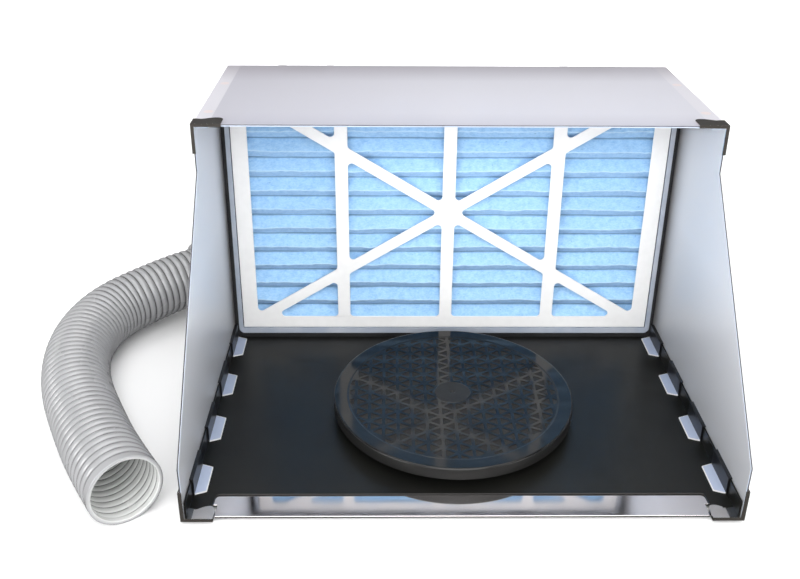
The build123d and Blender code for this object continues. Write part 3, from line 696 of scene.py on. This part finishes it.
def corrugated_hose():
    """Tube with a helical groove outside and in its bore, and a plain band at each end."""
    around = HOSE_COLUMNS
    per_turn = len(RIDGE_ROWS)
    along = stations(hose_line, STATION_SPACING)
    total = along[-1][2]
    last_row = ceil(total / RIDGE_PITCH) * per_turn
    vertices = []
    faces = []
    groove = []
    bore = []

    def point(distance, turn, radius):
        position = distance / total * (len(along) - 1)
        index = min(int(position), len(along) - 2)
        share = position - index
        spot = along[index][0].lerp(along[index + 1][0], share)
        direction = along[index][1].lerp(along[index + 1][1], share)
        side = direction.cross(Vector((0, 0, 1))).normalized()
        rise = side.cross(direction)
        angle = 2 * pi * turn / around
        vertices.append(spot + radius * (cos(angle) * side + sin(angle) * rise))

    def surface(radius, deepening, inside):
        """Rows that follow the groove, held between the two ends."""
        first = len(vertices)
        for row in range(-per_turn, last_row + 1):
            share, depth = RIDGE_ROWS[row % per_turn]
            start = (row // per_turn + share) * RIDGE_PITCH
            for turn in range(around):
                distance = min(total, max(0.0, start + RIDGE_PITCH * turn / around))
                from_end = min(distance, total - distance)
                plain = min(1.0, max(0.0, (END_BAND + BAND_FADE - from_end) / BAND_FADE))
                depth_here = depth * (1 - plain)
                point(distance, turn, radius + deepening * depth_here)
                groove.append(depth_here)
                bore.append(inside)
        for row in range(last_row + per_turn):
            here = first + row * around
            for turn in range(around - 1):
                a = here + turn
                faces.append((a, a + 1, a + 1 + around, a + around))
            # The last column joins the first one a whole turn of the groove further on
            a = here + around - 1
            b = here + per_turn * around
            if row < last_row:
                faces.append((a, b, b + around, a + around))

    def end_ring(distance, radius, inside):
        for turn in range(around):
            point(distance, turn, radius)
            groove.append(0.0)
            bore.append(inside)
        return len(vertices) - around

    outer = HOSE_DIAMETER / 2
    inner = HOSE_BORE / 2
    surface(outer, -GROOVE_DEPTH, 0.0)
    surface(inner, BORE_GROOVE_DEPTH, 1.0)
    rings = [
        end_ring(total, outer, 0.0),
        end_ring(total + LIP, outer - LIP, 0.0),
        end_ring(total + LIP, inner + LIP, 0.4),
        end_ring(total, inner, 1.0),
    ]
    ends = list(zip(rings, rings[1:]))
    ends.append((end_ring(0.0, outer, 0.0), end_ring(0.0, inner, 1.0)))
    for here, there in ends:
        for turn in range(around):
            after = (turn + 1) % around
            faces.append((here + turn, here + after, there + after, there + turn))
    # groove carries the painted shade of the groove, bore the painted light inside the bore
    marks = {"groove": groove, "bore": bore}
    return piece("corrugated_hose", vertices, faces, "booth", "grey_hose", ["hose"], marks)


hose = corrugated_hose()


# ---------------------------------------------------------------- filter felt

# Noise on the felt: how many waves a metre, and how high
WAVE_RATE = 38
WAVE_HEIGHT = 1.3 * MM
RIPPLE_RATE = 170
RIPPLE_HEIGHT = 0.8 * MM
SWAY_RATE = 22
SWAY_HEIGHT = 0.7 * MM
TUFT_RATE = 230
TUFT_HEIGHT = 0.3 * MM
PLEATS = 12
PLEAT_DEPTH = 7.5 * MM
# Where a pleat's crest is, as a share of its height
CREST = 0.42
FELT_THICKNESS = 1.4 * MM
FELT_COLUMNS = 190
# Part of the depth, next to a valley, that takes the painted shade, and next to a crest, that takes
# the painted highlight
FOLD_SHARE = 0.10
CREST_SHARE = 0.05
# Shares of one pleat from its lower valley up: under side, crest, upper side
PLEAT_ROWS = (
    (0, 0.02, 0.06, 0.13, 0.22, 0.31, 0.38)
    + (0.41, 0.43, 0.46)
    + (0.51, 0.58, 0.66, 0.75, 0.84, 0.92, 0.97)
)


def pleated_felt():
    """Pleated felt: short under sides, long upper sides, uneven crests and narrow valleys."""
    low_x, high_x = felt_low.x + 0.3 * MM, felt_high.x - 0.3 * MM
    near = felt_low.y + 0.2 * MM
    pitch = (felt_high.z - felt_low.z) / PLEATS
    columns = FELT_COLUMNS
    rows = [(index, share) for index in range(PLEATS) for share in PLEAT_ROWS] + [(PLEATS, 0)]
    vertices = []
    fold_shade = []
    crest_highlight = []
    for layer in (0, 1):
        for index, share in rows:
            # 0 on the crest, 1 in the valleys
            slope = 1 - share / CREST if share < CREST else (share - CREST) / (1 - CREST)
            depth = slope ** 1.1 * PLEAT_DEPTH
            for column in range(columns + 1):
                x = low_x + (high_x - low_x) * column / columns
                # Each pleat takes its own line through the noise
                wave = field.noise(Vector((x * WAVE_RATE, 1.7, index * 5.3))) * WAVE_HEIGHT
                ripple = field.noise(Vector((x * RIPPLE_RATE, 8.1, index * 3.9))) * RIPPLE_HEIGHT
                height = felt_low.z + (index + share) * pitch
                height += (wave + ripple) * (1 - slope) + 0.5 * wave * slope
                place = Vector((x, near, height))
                sway = field.noise(place * SWAY_RATE) * SWAY_HEIGHT
                tuft = field.noise(place * TUFT_RATE) * TUFT_HEIGHT
                y = near + depth + abs(sway + tuft) + layer * FELT_THICKNESS
                vertices.append((x, y, min(felt_high.z, max(felt_low.z, height))))
                fold_shade.append(max(0.0, 1 - (1 - slope) / FOLD_SHARE) if layer == 0 else 0.0)
                crest_highlight.append(max(0.0, 1 - slope / CREST_SHARE))
    faces = []
    width = columns + 1
    count = len(rows) * width
    for row in range(len(rows) - 1):
        for column in range(columns):
            a = row * width + column
            faces.append((a, a + 1, a + 1 + width, a + width))
            faces.append((a + count, a + width + count, a + 1 + width + count, a + 1 + count))
    for column in range(columns):
        a = column
        b = (len(rows) - 1) * width + column
        faces.append((a, a + count, a + 1 + count, a + 1))
        faces.append((b, b + 1, b + 1 + count, b + count))
    for row in range(len(rows) - 1):
        a = row * width
        b = row * width + columns
        faces.append((a, a + width, a + width + count, a + count))
        faces.append((b, b + count, b + width + count, b + width))
    marks = {"fold_shade": fold_shade, "crest_highlight": crest_highlight}
    return piece("pleated_felt", vertices, faces, "filter", "blue_felt", ["filter_media"], marks)


pleated_felt()


# ------------------------------------------------------------------ turntable

RIB_SPACING = 11.6 * MM
RIB_WIDTH = 2.3 * MM
POCKET_DEPTH = 0.7 * MM
POCKET_CORNER = 1.1 * MM
POCKET_DRAFT = 0.35 * MM
# Plain bands between the pockets and the recess's edge or the hub
RECESS_BAND = 1.2 * MM
HUB_BAND = 1.6 * MM
SMALLEST_POCKET = 6 * MM * MM
# Most of a side that a rounded corner may take
LONGEST_CUT = 0.35
DISC_COLUMNS = 192
AXIS_RADIUS = 0.02 * MM
SHARP_ANGLE = radians(32)


def clip(polygon, normal, limit):
    """Part of a convex polygon where its points' product with a normal is under a limit."""
    kept = []
    for a, b in zip(polygon, polygon[1:] + polygon[:1]):
        da = a.dot(normal) - limit
        db = b.dot(normal) - limit
        if da <= 0:
            kept.append(a)
        if (da < 0 < db) or (db < 0 < da):
            kept.append(a.lerp(b, da / (da - db)))
    return kept


def rounded(polygon, radius):
    """Convex polygon with its corners cut to short arcs."""
    points = []
    count = len(polygon)
    for index in range(count):
        here = polygon[index]
        before = polygon[index - 1] - here
        after = polygon[(index + 1) % count] - here
        cut = min(radius, LONGEST_CUT * before.length, LONGEST_CUT * after.length)
        first = here + before.normalized() * cut
        last = here + after.normalized() * cut
        for share in (0.0, 0.5, 1.0):
            a = first.lerp(here, share)
            b = here.lerp(last, share)
            points.append(a.lerp(b, share))
    return points


def pockets():
    """Triangular pockets between three families of ribs, cut off at the recess and the hub."""
    side = RIB_SPACING * 2 / sqrt(3)
    reach = ceil(2 * RECESS_RADIUS / RIB_SPACING)
    inset = RIB_WIDTH / 2
    found = []
    for column in range(-reach, reach + 1):
        for row in range(-reach, reach + 1):
            x = column * RIB_SPACING
            y = row * side + (column % 2) * side / 2
            for way in (-1, 1):
                corners = [
                    Vector((x, y)),
                    Vector((x + way * RIB_SPACING, y - side / 2)),
                    Vector((x + way * RIB_SPACING, y + side / 2)),
                ]
                middle = (corners[0] + corners[1] + corners[2]) / 3
                if middle.length > RECESS_RADIUS + side:
                    continue
                cell = [c + (middle - c).normalized() * inset * 2 for c in corners]
                if (cell[1] - cell[0]).cross(cell[2] - cell[0]) < 0:
                    cell.reverse()
                # Short straight cuts that follow the recess's round edge
                for step in range(-3, 4):
                    angle = atan2(middle.y, middle.x) + radians(step * 3)
                    way_out = Vector((cos(angle), sin(angle)))
                    cell = clip(cell, way_out, RECESS_RADIUS - RECESS_BAND)
                if middle.length < HUB_RADIUS + side:
                    cell = clip(cell, -middle.normalized(), -(HUB_RADIUS + HUB_BAND))
                if len(cell) < 3:
                    continue
                area = sum(a.cross(b) for a, b in zip(cell, cell[1:] + cell[:1])) / 2
                if area > SMALLEST_POCKET:
                    found.append(cell)
    return found


def prism(points, low, high, draft):
    """Vertices and faces of a prism that narrows towards its foot."""
    middle = sum(points, Vector((0, 0))) / len(points)
    count = len(points)
    foot = [p + (middle - p).normalized() * draft for p in points]
    vertices = [(p.x, p.y, low) for p in foot] + [(p.x, p.y, high) for p in points]
    faces = [tuple(reversed(range(count))), tuple(range(count, 2 * count))]
    for k in range(count):
        n = (k + 1) % count
        faces.append((k, n, n + count, k + count))
    return vertices, faces


def lathe(profile, around):
    """Vertices and faces of a closed (radius, height) profile turned about Z."""
    vertices = []
    for k in range(around):
        angle = 2 * pi * k / around
        vertices += [(r * cos(angle), r * sin(angle), z) for r, z in profile]
    count = len(profile)
    faces = []
    for k in range(around):
        here = k * count
        there = (k + 1) % around * count
        for index in range(count):
            after = (index + 1) % count
            faces.append((here + index, there + index, there + after, here + after))
    return vertices, faces


def cut_away(target, vertices, faces):
    """Subtract a closed mesh from a piece and keep the result as its mesh."""
    tool_mesh = bpy.data.meshes.new("cutter")
    tool_mesh.from_pydata(vertices, [], faces)
    tool = bpy.data.objects.new("cutter", tool_mesh)
    bpy.context.scene.collection.objects.link(tool)
    cut = target.modifiers.new("cut", "BOOLEAN")
    cut.operation = "DIFFERENCE"
    cut.solver = "MANIFOLD"
    cut.object = tool
    view = bpy.context.evaluated_depsgraph_get()
    result = bpy.data.meshes.new_from_object(target.evaluated_get(view))
    result.set_sharp_from_angle(angle=SHARP_ANGLE)
    target.modifiers.remove(cut)
    old = target.data
    target.data = result
    bpy.data.meshes.remove(old)
    bpy.data.objects.remove(tool)
    bpy.data.meshes.remove(tool_mesh)


def turntable():
    """Disc with a rounded rim, a shallow recess of triangular pockets and a dimpled hub."""
    middle = disc_middle
    rim = (disc_high.x - disc_low.x) / 2
    top = disc_high.z
    foot = disc_low.z
    ledge = top - 0.35 * MM
    plate_foot = top - 3.2 * MM
    boss_foot = top - 7.0 * MM
    boss_radius = 14 * MM
    profile = [
        # Dimple and hub
        (AXIS_RADIUS, top - 0.9 * MM),
        (1.2 * MM, top - 0.85 * MM),
        (1.9 * MM, top - 0.25 * MM),
        (2.3 * MM, top - 0.1 * MM),
        (2.8 * MM, top - 0.1 * MM),
        (HUB_RADIUS - 0.9 * MM, top - 0.1 * MM),
        (HUB_RADIUS - 0.4 * MM, top - 0.1 * MM),
        (HUB_RADIUS, top - 0.25 * MM),
        # Floor of the recess
        (HUB_RADIUS + 0.1 * MM, ledge),
        (HUB_RADIUS + 0.6 * MM, ledge),
        (RECESS_RADIUS - 0.8 * MM, ledge),
        (RECESS_RADIUS - 0.3 * MM, ledge),
        (RECESS_RADIUS, ledge + 0.1 * MM),
        (RECESS_RADIUS + 0.2 * MM, top - 0.1 * MM),
        # Rim, rounded at its top
        (RECESS_RADIUS + 0.5 * MM, top),
        (RECESS_RADIUS + 1.0 * MM, top),
        (rim - 2.0 * MM, top),
        (rim - 1.5 * MM, top),
        (rim - 0.75 * MM, top - 0.2 * MM),
        (rim - 0.2 * MM, top - 0.75 * MM),
        (rim, top - 1.5 * MM),
        (rim, foot + 0.5 * MM),
        (rim - 0.5 * MM, foot),
        (rim - 2.6 * MM, foot),
        (rim - 3.0 * MM, foot + 0.4 * MM),
        # Under side and boss
        (rim - 3.0 * MM, plate_foot),
        (boss_radius, plate_foot),
        (boss_radius, boss_foot),
        (AXIS_RADIUS, boss_foot),
    ]
    vertices, faces = lathe(profile, DISC_COLUMNS)
    vertices = [(x + middle.x, y + middle.y, z) for x, y, z in vertices]
    disc = piece("turntable_top", vertices, faces, "turntable", "black_gloss", ["turntable_disc"])
    cut_vertices = []
    cut_faces = []
    for cell in pockets():
        loop = rounded(cell, POCKET_CORNER)
        placed = [p + Vector((middle.x, middle.y)) for p in loop]
        more, sides = prism(placed, ledge - POCKET_DEPTH, ledge + 1.0 * MM, POCKET_DRAFT)
        start = len(cut_vertices)
        cut_vertices += more
        cut_faces += [tuple(start + k for k in side) for side in sides]
    cut_away(disc, cut_vertices, cut_faces)


turntable()


# ---------------------------------------------------- floor, light and camera

FLOOR_REACH = 4.0
# Beyond these distances from the middle the floor starts to fade, and has faded, to white
FADE_START = 0.7
FADE_END = 1.4
# Name, place, point aimed at, width and height in metres, and power in watts
LIGHTS = (
    ("front", (0, -2.0, 1.1), (0, 0, 0.1), (2.0, 1.0), 27),
    ("left", (-1.5, -1.2, 0.7), (0.2, 0, 0.12), (1.0, 0.8), 20),
    ("right", (1.5, -1.2, 0.7), (-0.2, 0, 0.12), (1.0, 0.8), 12),
    ("key", (0.1, -1.4, 2.2), (0, 0, 0.1), (1.6, 1.0), 22),
    ("top", (0, 0.3, 2.3), (0, 0, 0), (2.4, 1.6), 22),
)


def stage_floor():
    """Plain pale floor, darker when mirrored in the gloss of the booth."""
    far = FLOOR_REACH
    corners = [(-far, -far, 0), (far, -far, 0), (far, far, 0), (-far, far, 0)]
    mesh = bpy.data.meshes.new("floor")
    mesh.from_pydata(corners, [], [(0, 1, 2, 3)])
    floor = bpy.data.objects.new("floor", mesh)
    bpy.context.scene.collection.objects.link(floor)
    finish = Finish("floor_white", (0.92, 0.92, 0.92), 0.7, Specular_IOR_Level=0.1)
    ray = finish.node("LightPath").outputs
    patches = finish.span(finish.noise(300 * MM), NOISE_LOW, NOISE_HIGH)
    pale = finish.mix(patches, (0.915, 0.915, 0.915), (0.925, 0.925, 0.925))
    finish.feed("Base Color", finish.mix(ray["Is Glossy Ray"], pale, (0.035, 0.033, 0.03)))
    away = finish.node("VectorMath", {0: finish.place}, operation="LENGTH").outputs["Value"]
    fade = finish.span(away, FADE_START, FADE_END)
    finish.feed("Emission Strength", finish.both(fade, ray["Is Camera Ray"]))
    finish.set("Emission Color", (1, 1, 1, 1))
    mesh.materials.append(finish.material)


def area_light(name, place, aim, size, power):
    light = bpy.data.lights.new(name, "AREA")
    light.shape = "RECTANGLE"
    light.size, light.size_y = size
    light.energy = power
    lamp = bpy.data.objects.new(name, light)
    lamp.location = place
    lamp.rotation_mode = "QUATERNION"
    lamp.rotation_quaternion = (Vector(aim) - Vector(place)).to_track_quat("-Z", "Y")
    bpy.context.scene.collection.objects.link(lamp)


stage_floor()
for row in LIGHTS:
    area_light(*row)


def studio_world():
    """White to the camera, a soft glow as light, and a dim room with a bright ceiling in gloss."""
    world = bpy.data.worlds.new("studio")
    world.use_nodes = True
    tree = world.node_tree

    def math(operation, a, b):
        return add_node(tree, "Math", {0: a, 1: b}, operation=operation).outputs[0]

    sphere = add_node(tree, "TexCoord").outputs["Generated"]
    way = add_node(tree, "SeparateXYZ", {0: sphere}).outputs
    above = add_span(tree, way["Z"], -0.1, 0.7, 0.35, 1.0)
    behind = add_span(tree, way["Y"], -0.5, 0.4, 0.3, 1.0)
    beside = add_span(tree, math("ABSOLUTE", way["X"], 0.0), 0.5, 0.8, 0.0, 1.3)
    glow = math("MAXIMUM", math("MULTIPLY", above, behind), beside)
    ceiling = add_span(tree, way["Z"], 0.80, 0.92, 0.09, 0.9)

    ray = add_node(tree, "LightPath").outputs
    mirrored = ray["Is Glossy Ray"]
    in_gloss = math("MULTIPLY", ceiling, mirrored)
    as_light = math("MULTIPLY", glow, math("SUBTRACT", 1.0, mirrored))
    strength = math("MAXIMUM", math("ADD", in_gloss, as_light), ray["Is Camera Ray"])
    background = tree.nodes["Background"].inputs
    tree.links.new(strength, background["Strength"])
    background["Color"].default_value = (1, 1, 1, 1)
    bpy.context.scene.world = world


studio_world()
bpy.context.scene.view_settings.view_transform = "Standard"


# The camera, for a frame of 800 by 579
FRAME_WIDTH = 800
FOCAL_LENGTH = 919.78 / FRAME_WIDTH
SHIFT_UP = -59.5 / FRAME_WIDTH
SENSOR_MM = 36
CAMERA_PLACE = (-0.05513, -0.70044, 0.47099)
# Radians down from level, to the right of the Y axis, and clockwise about the view
CAMERA_PITCH = 0.434
CAMERA_YAW = 0.015
CAMERA_ROLL = 0.008


def photo_camera():
    """Camera at the reference's viewing angle."""
    level = Vector((sin(CAMERA_YAW), cos(CAMERA_YAW), 0))
    ahead = level * cos(CAMERA_PITCH) - Vector((0, 0, sin(CAMERA_PITCH)))
    right = Vector((cos(CAMERA_YAW), -sin(CAMERA_YAW), 0))
    up = right.cross(ahead)
    turned_right = cos(CAMERA_ROLL) * right + sin(CAMERA_ROLL) * up
    turned_up = -sin(CAMERA_ROLL) * right + cos(CAMERA_ROLL) * up
    data = bpy.data.cameras.new("camera")
    data.sensor_width = SENSOR_MM
    data.lens = FOCAL_LENGTH * SENSOR_MM
    data.shift_y = SHIFT_UP
    data.clip_start = 0.01
    camera = bpy.data.objects.new("camera", data)
    turn = Matrix((turned_right, turned_up, -ahead)).transposed()
    camera.rotation_mode = "QUATERNION"
    camera.rotation_quaternion = turn.to_quaternion()
    camera.location = CAMERA_PLACE
    bpy.context.scene.collection.objects.link(camera)
    bpy.context.scene.camera = camera


photo_camera()
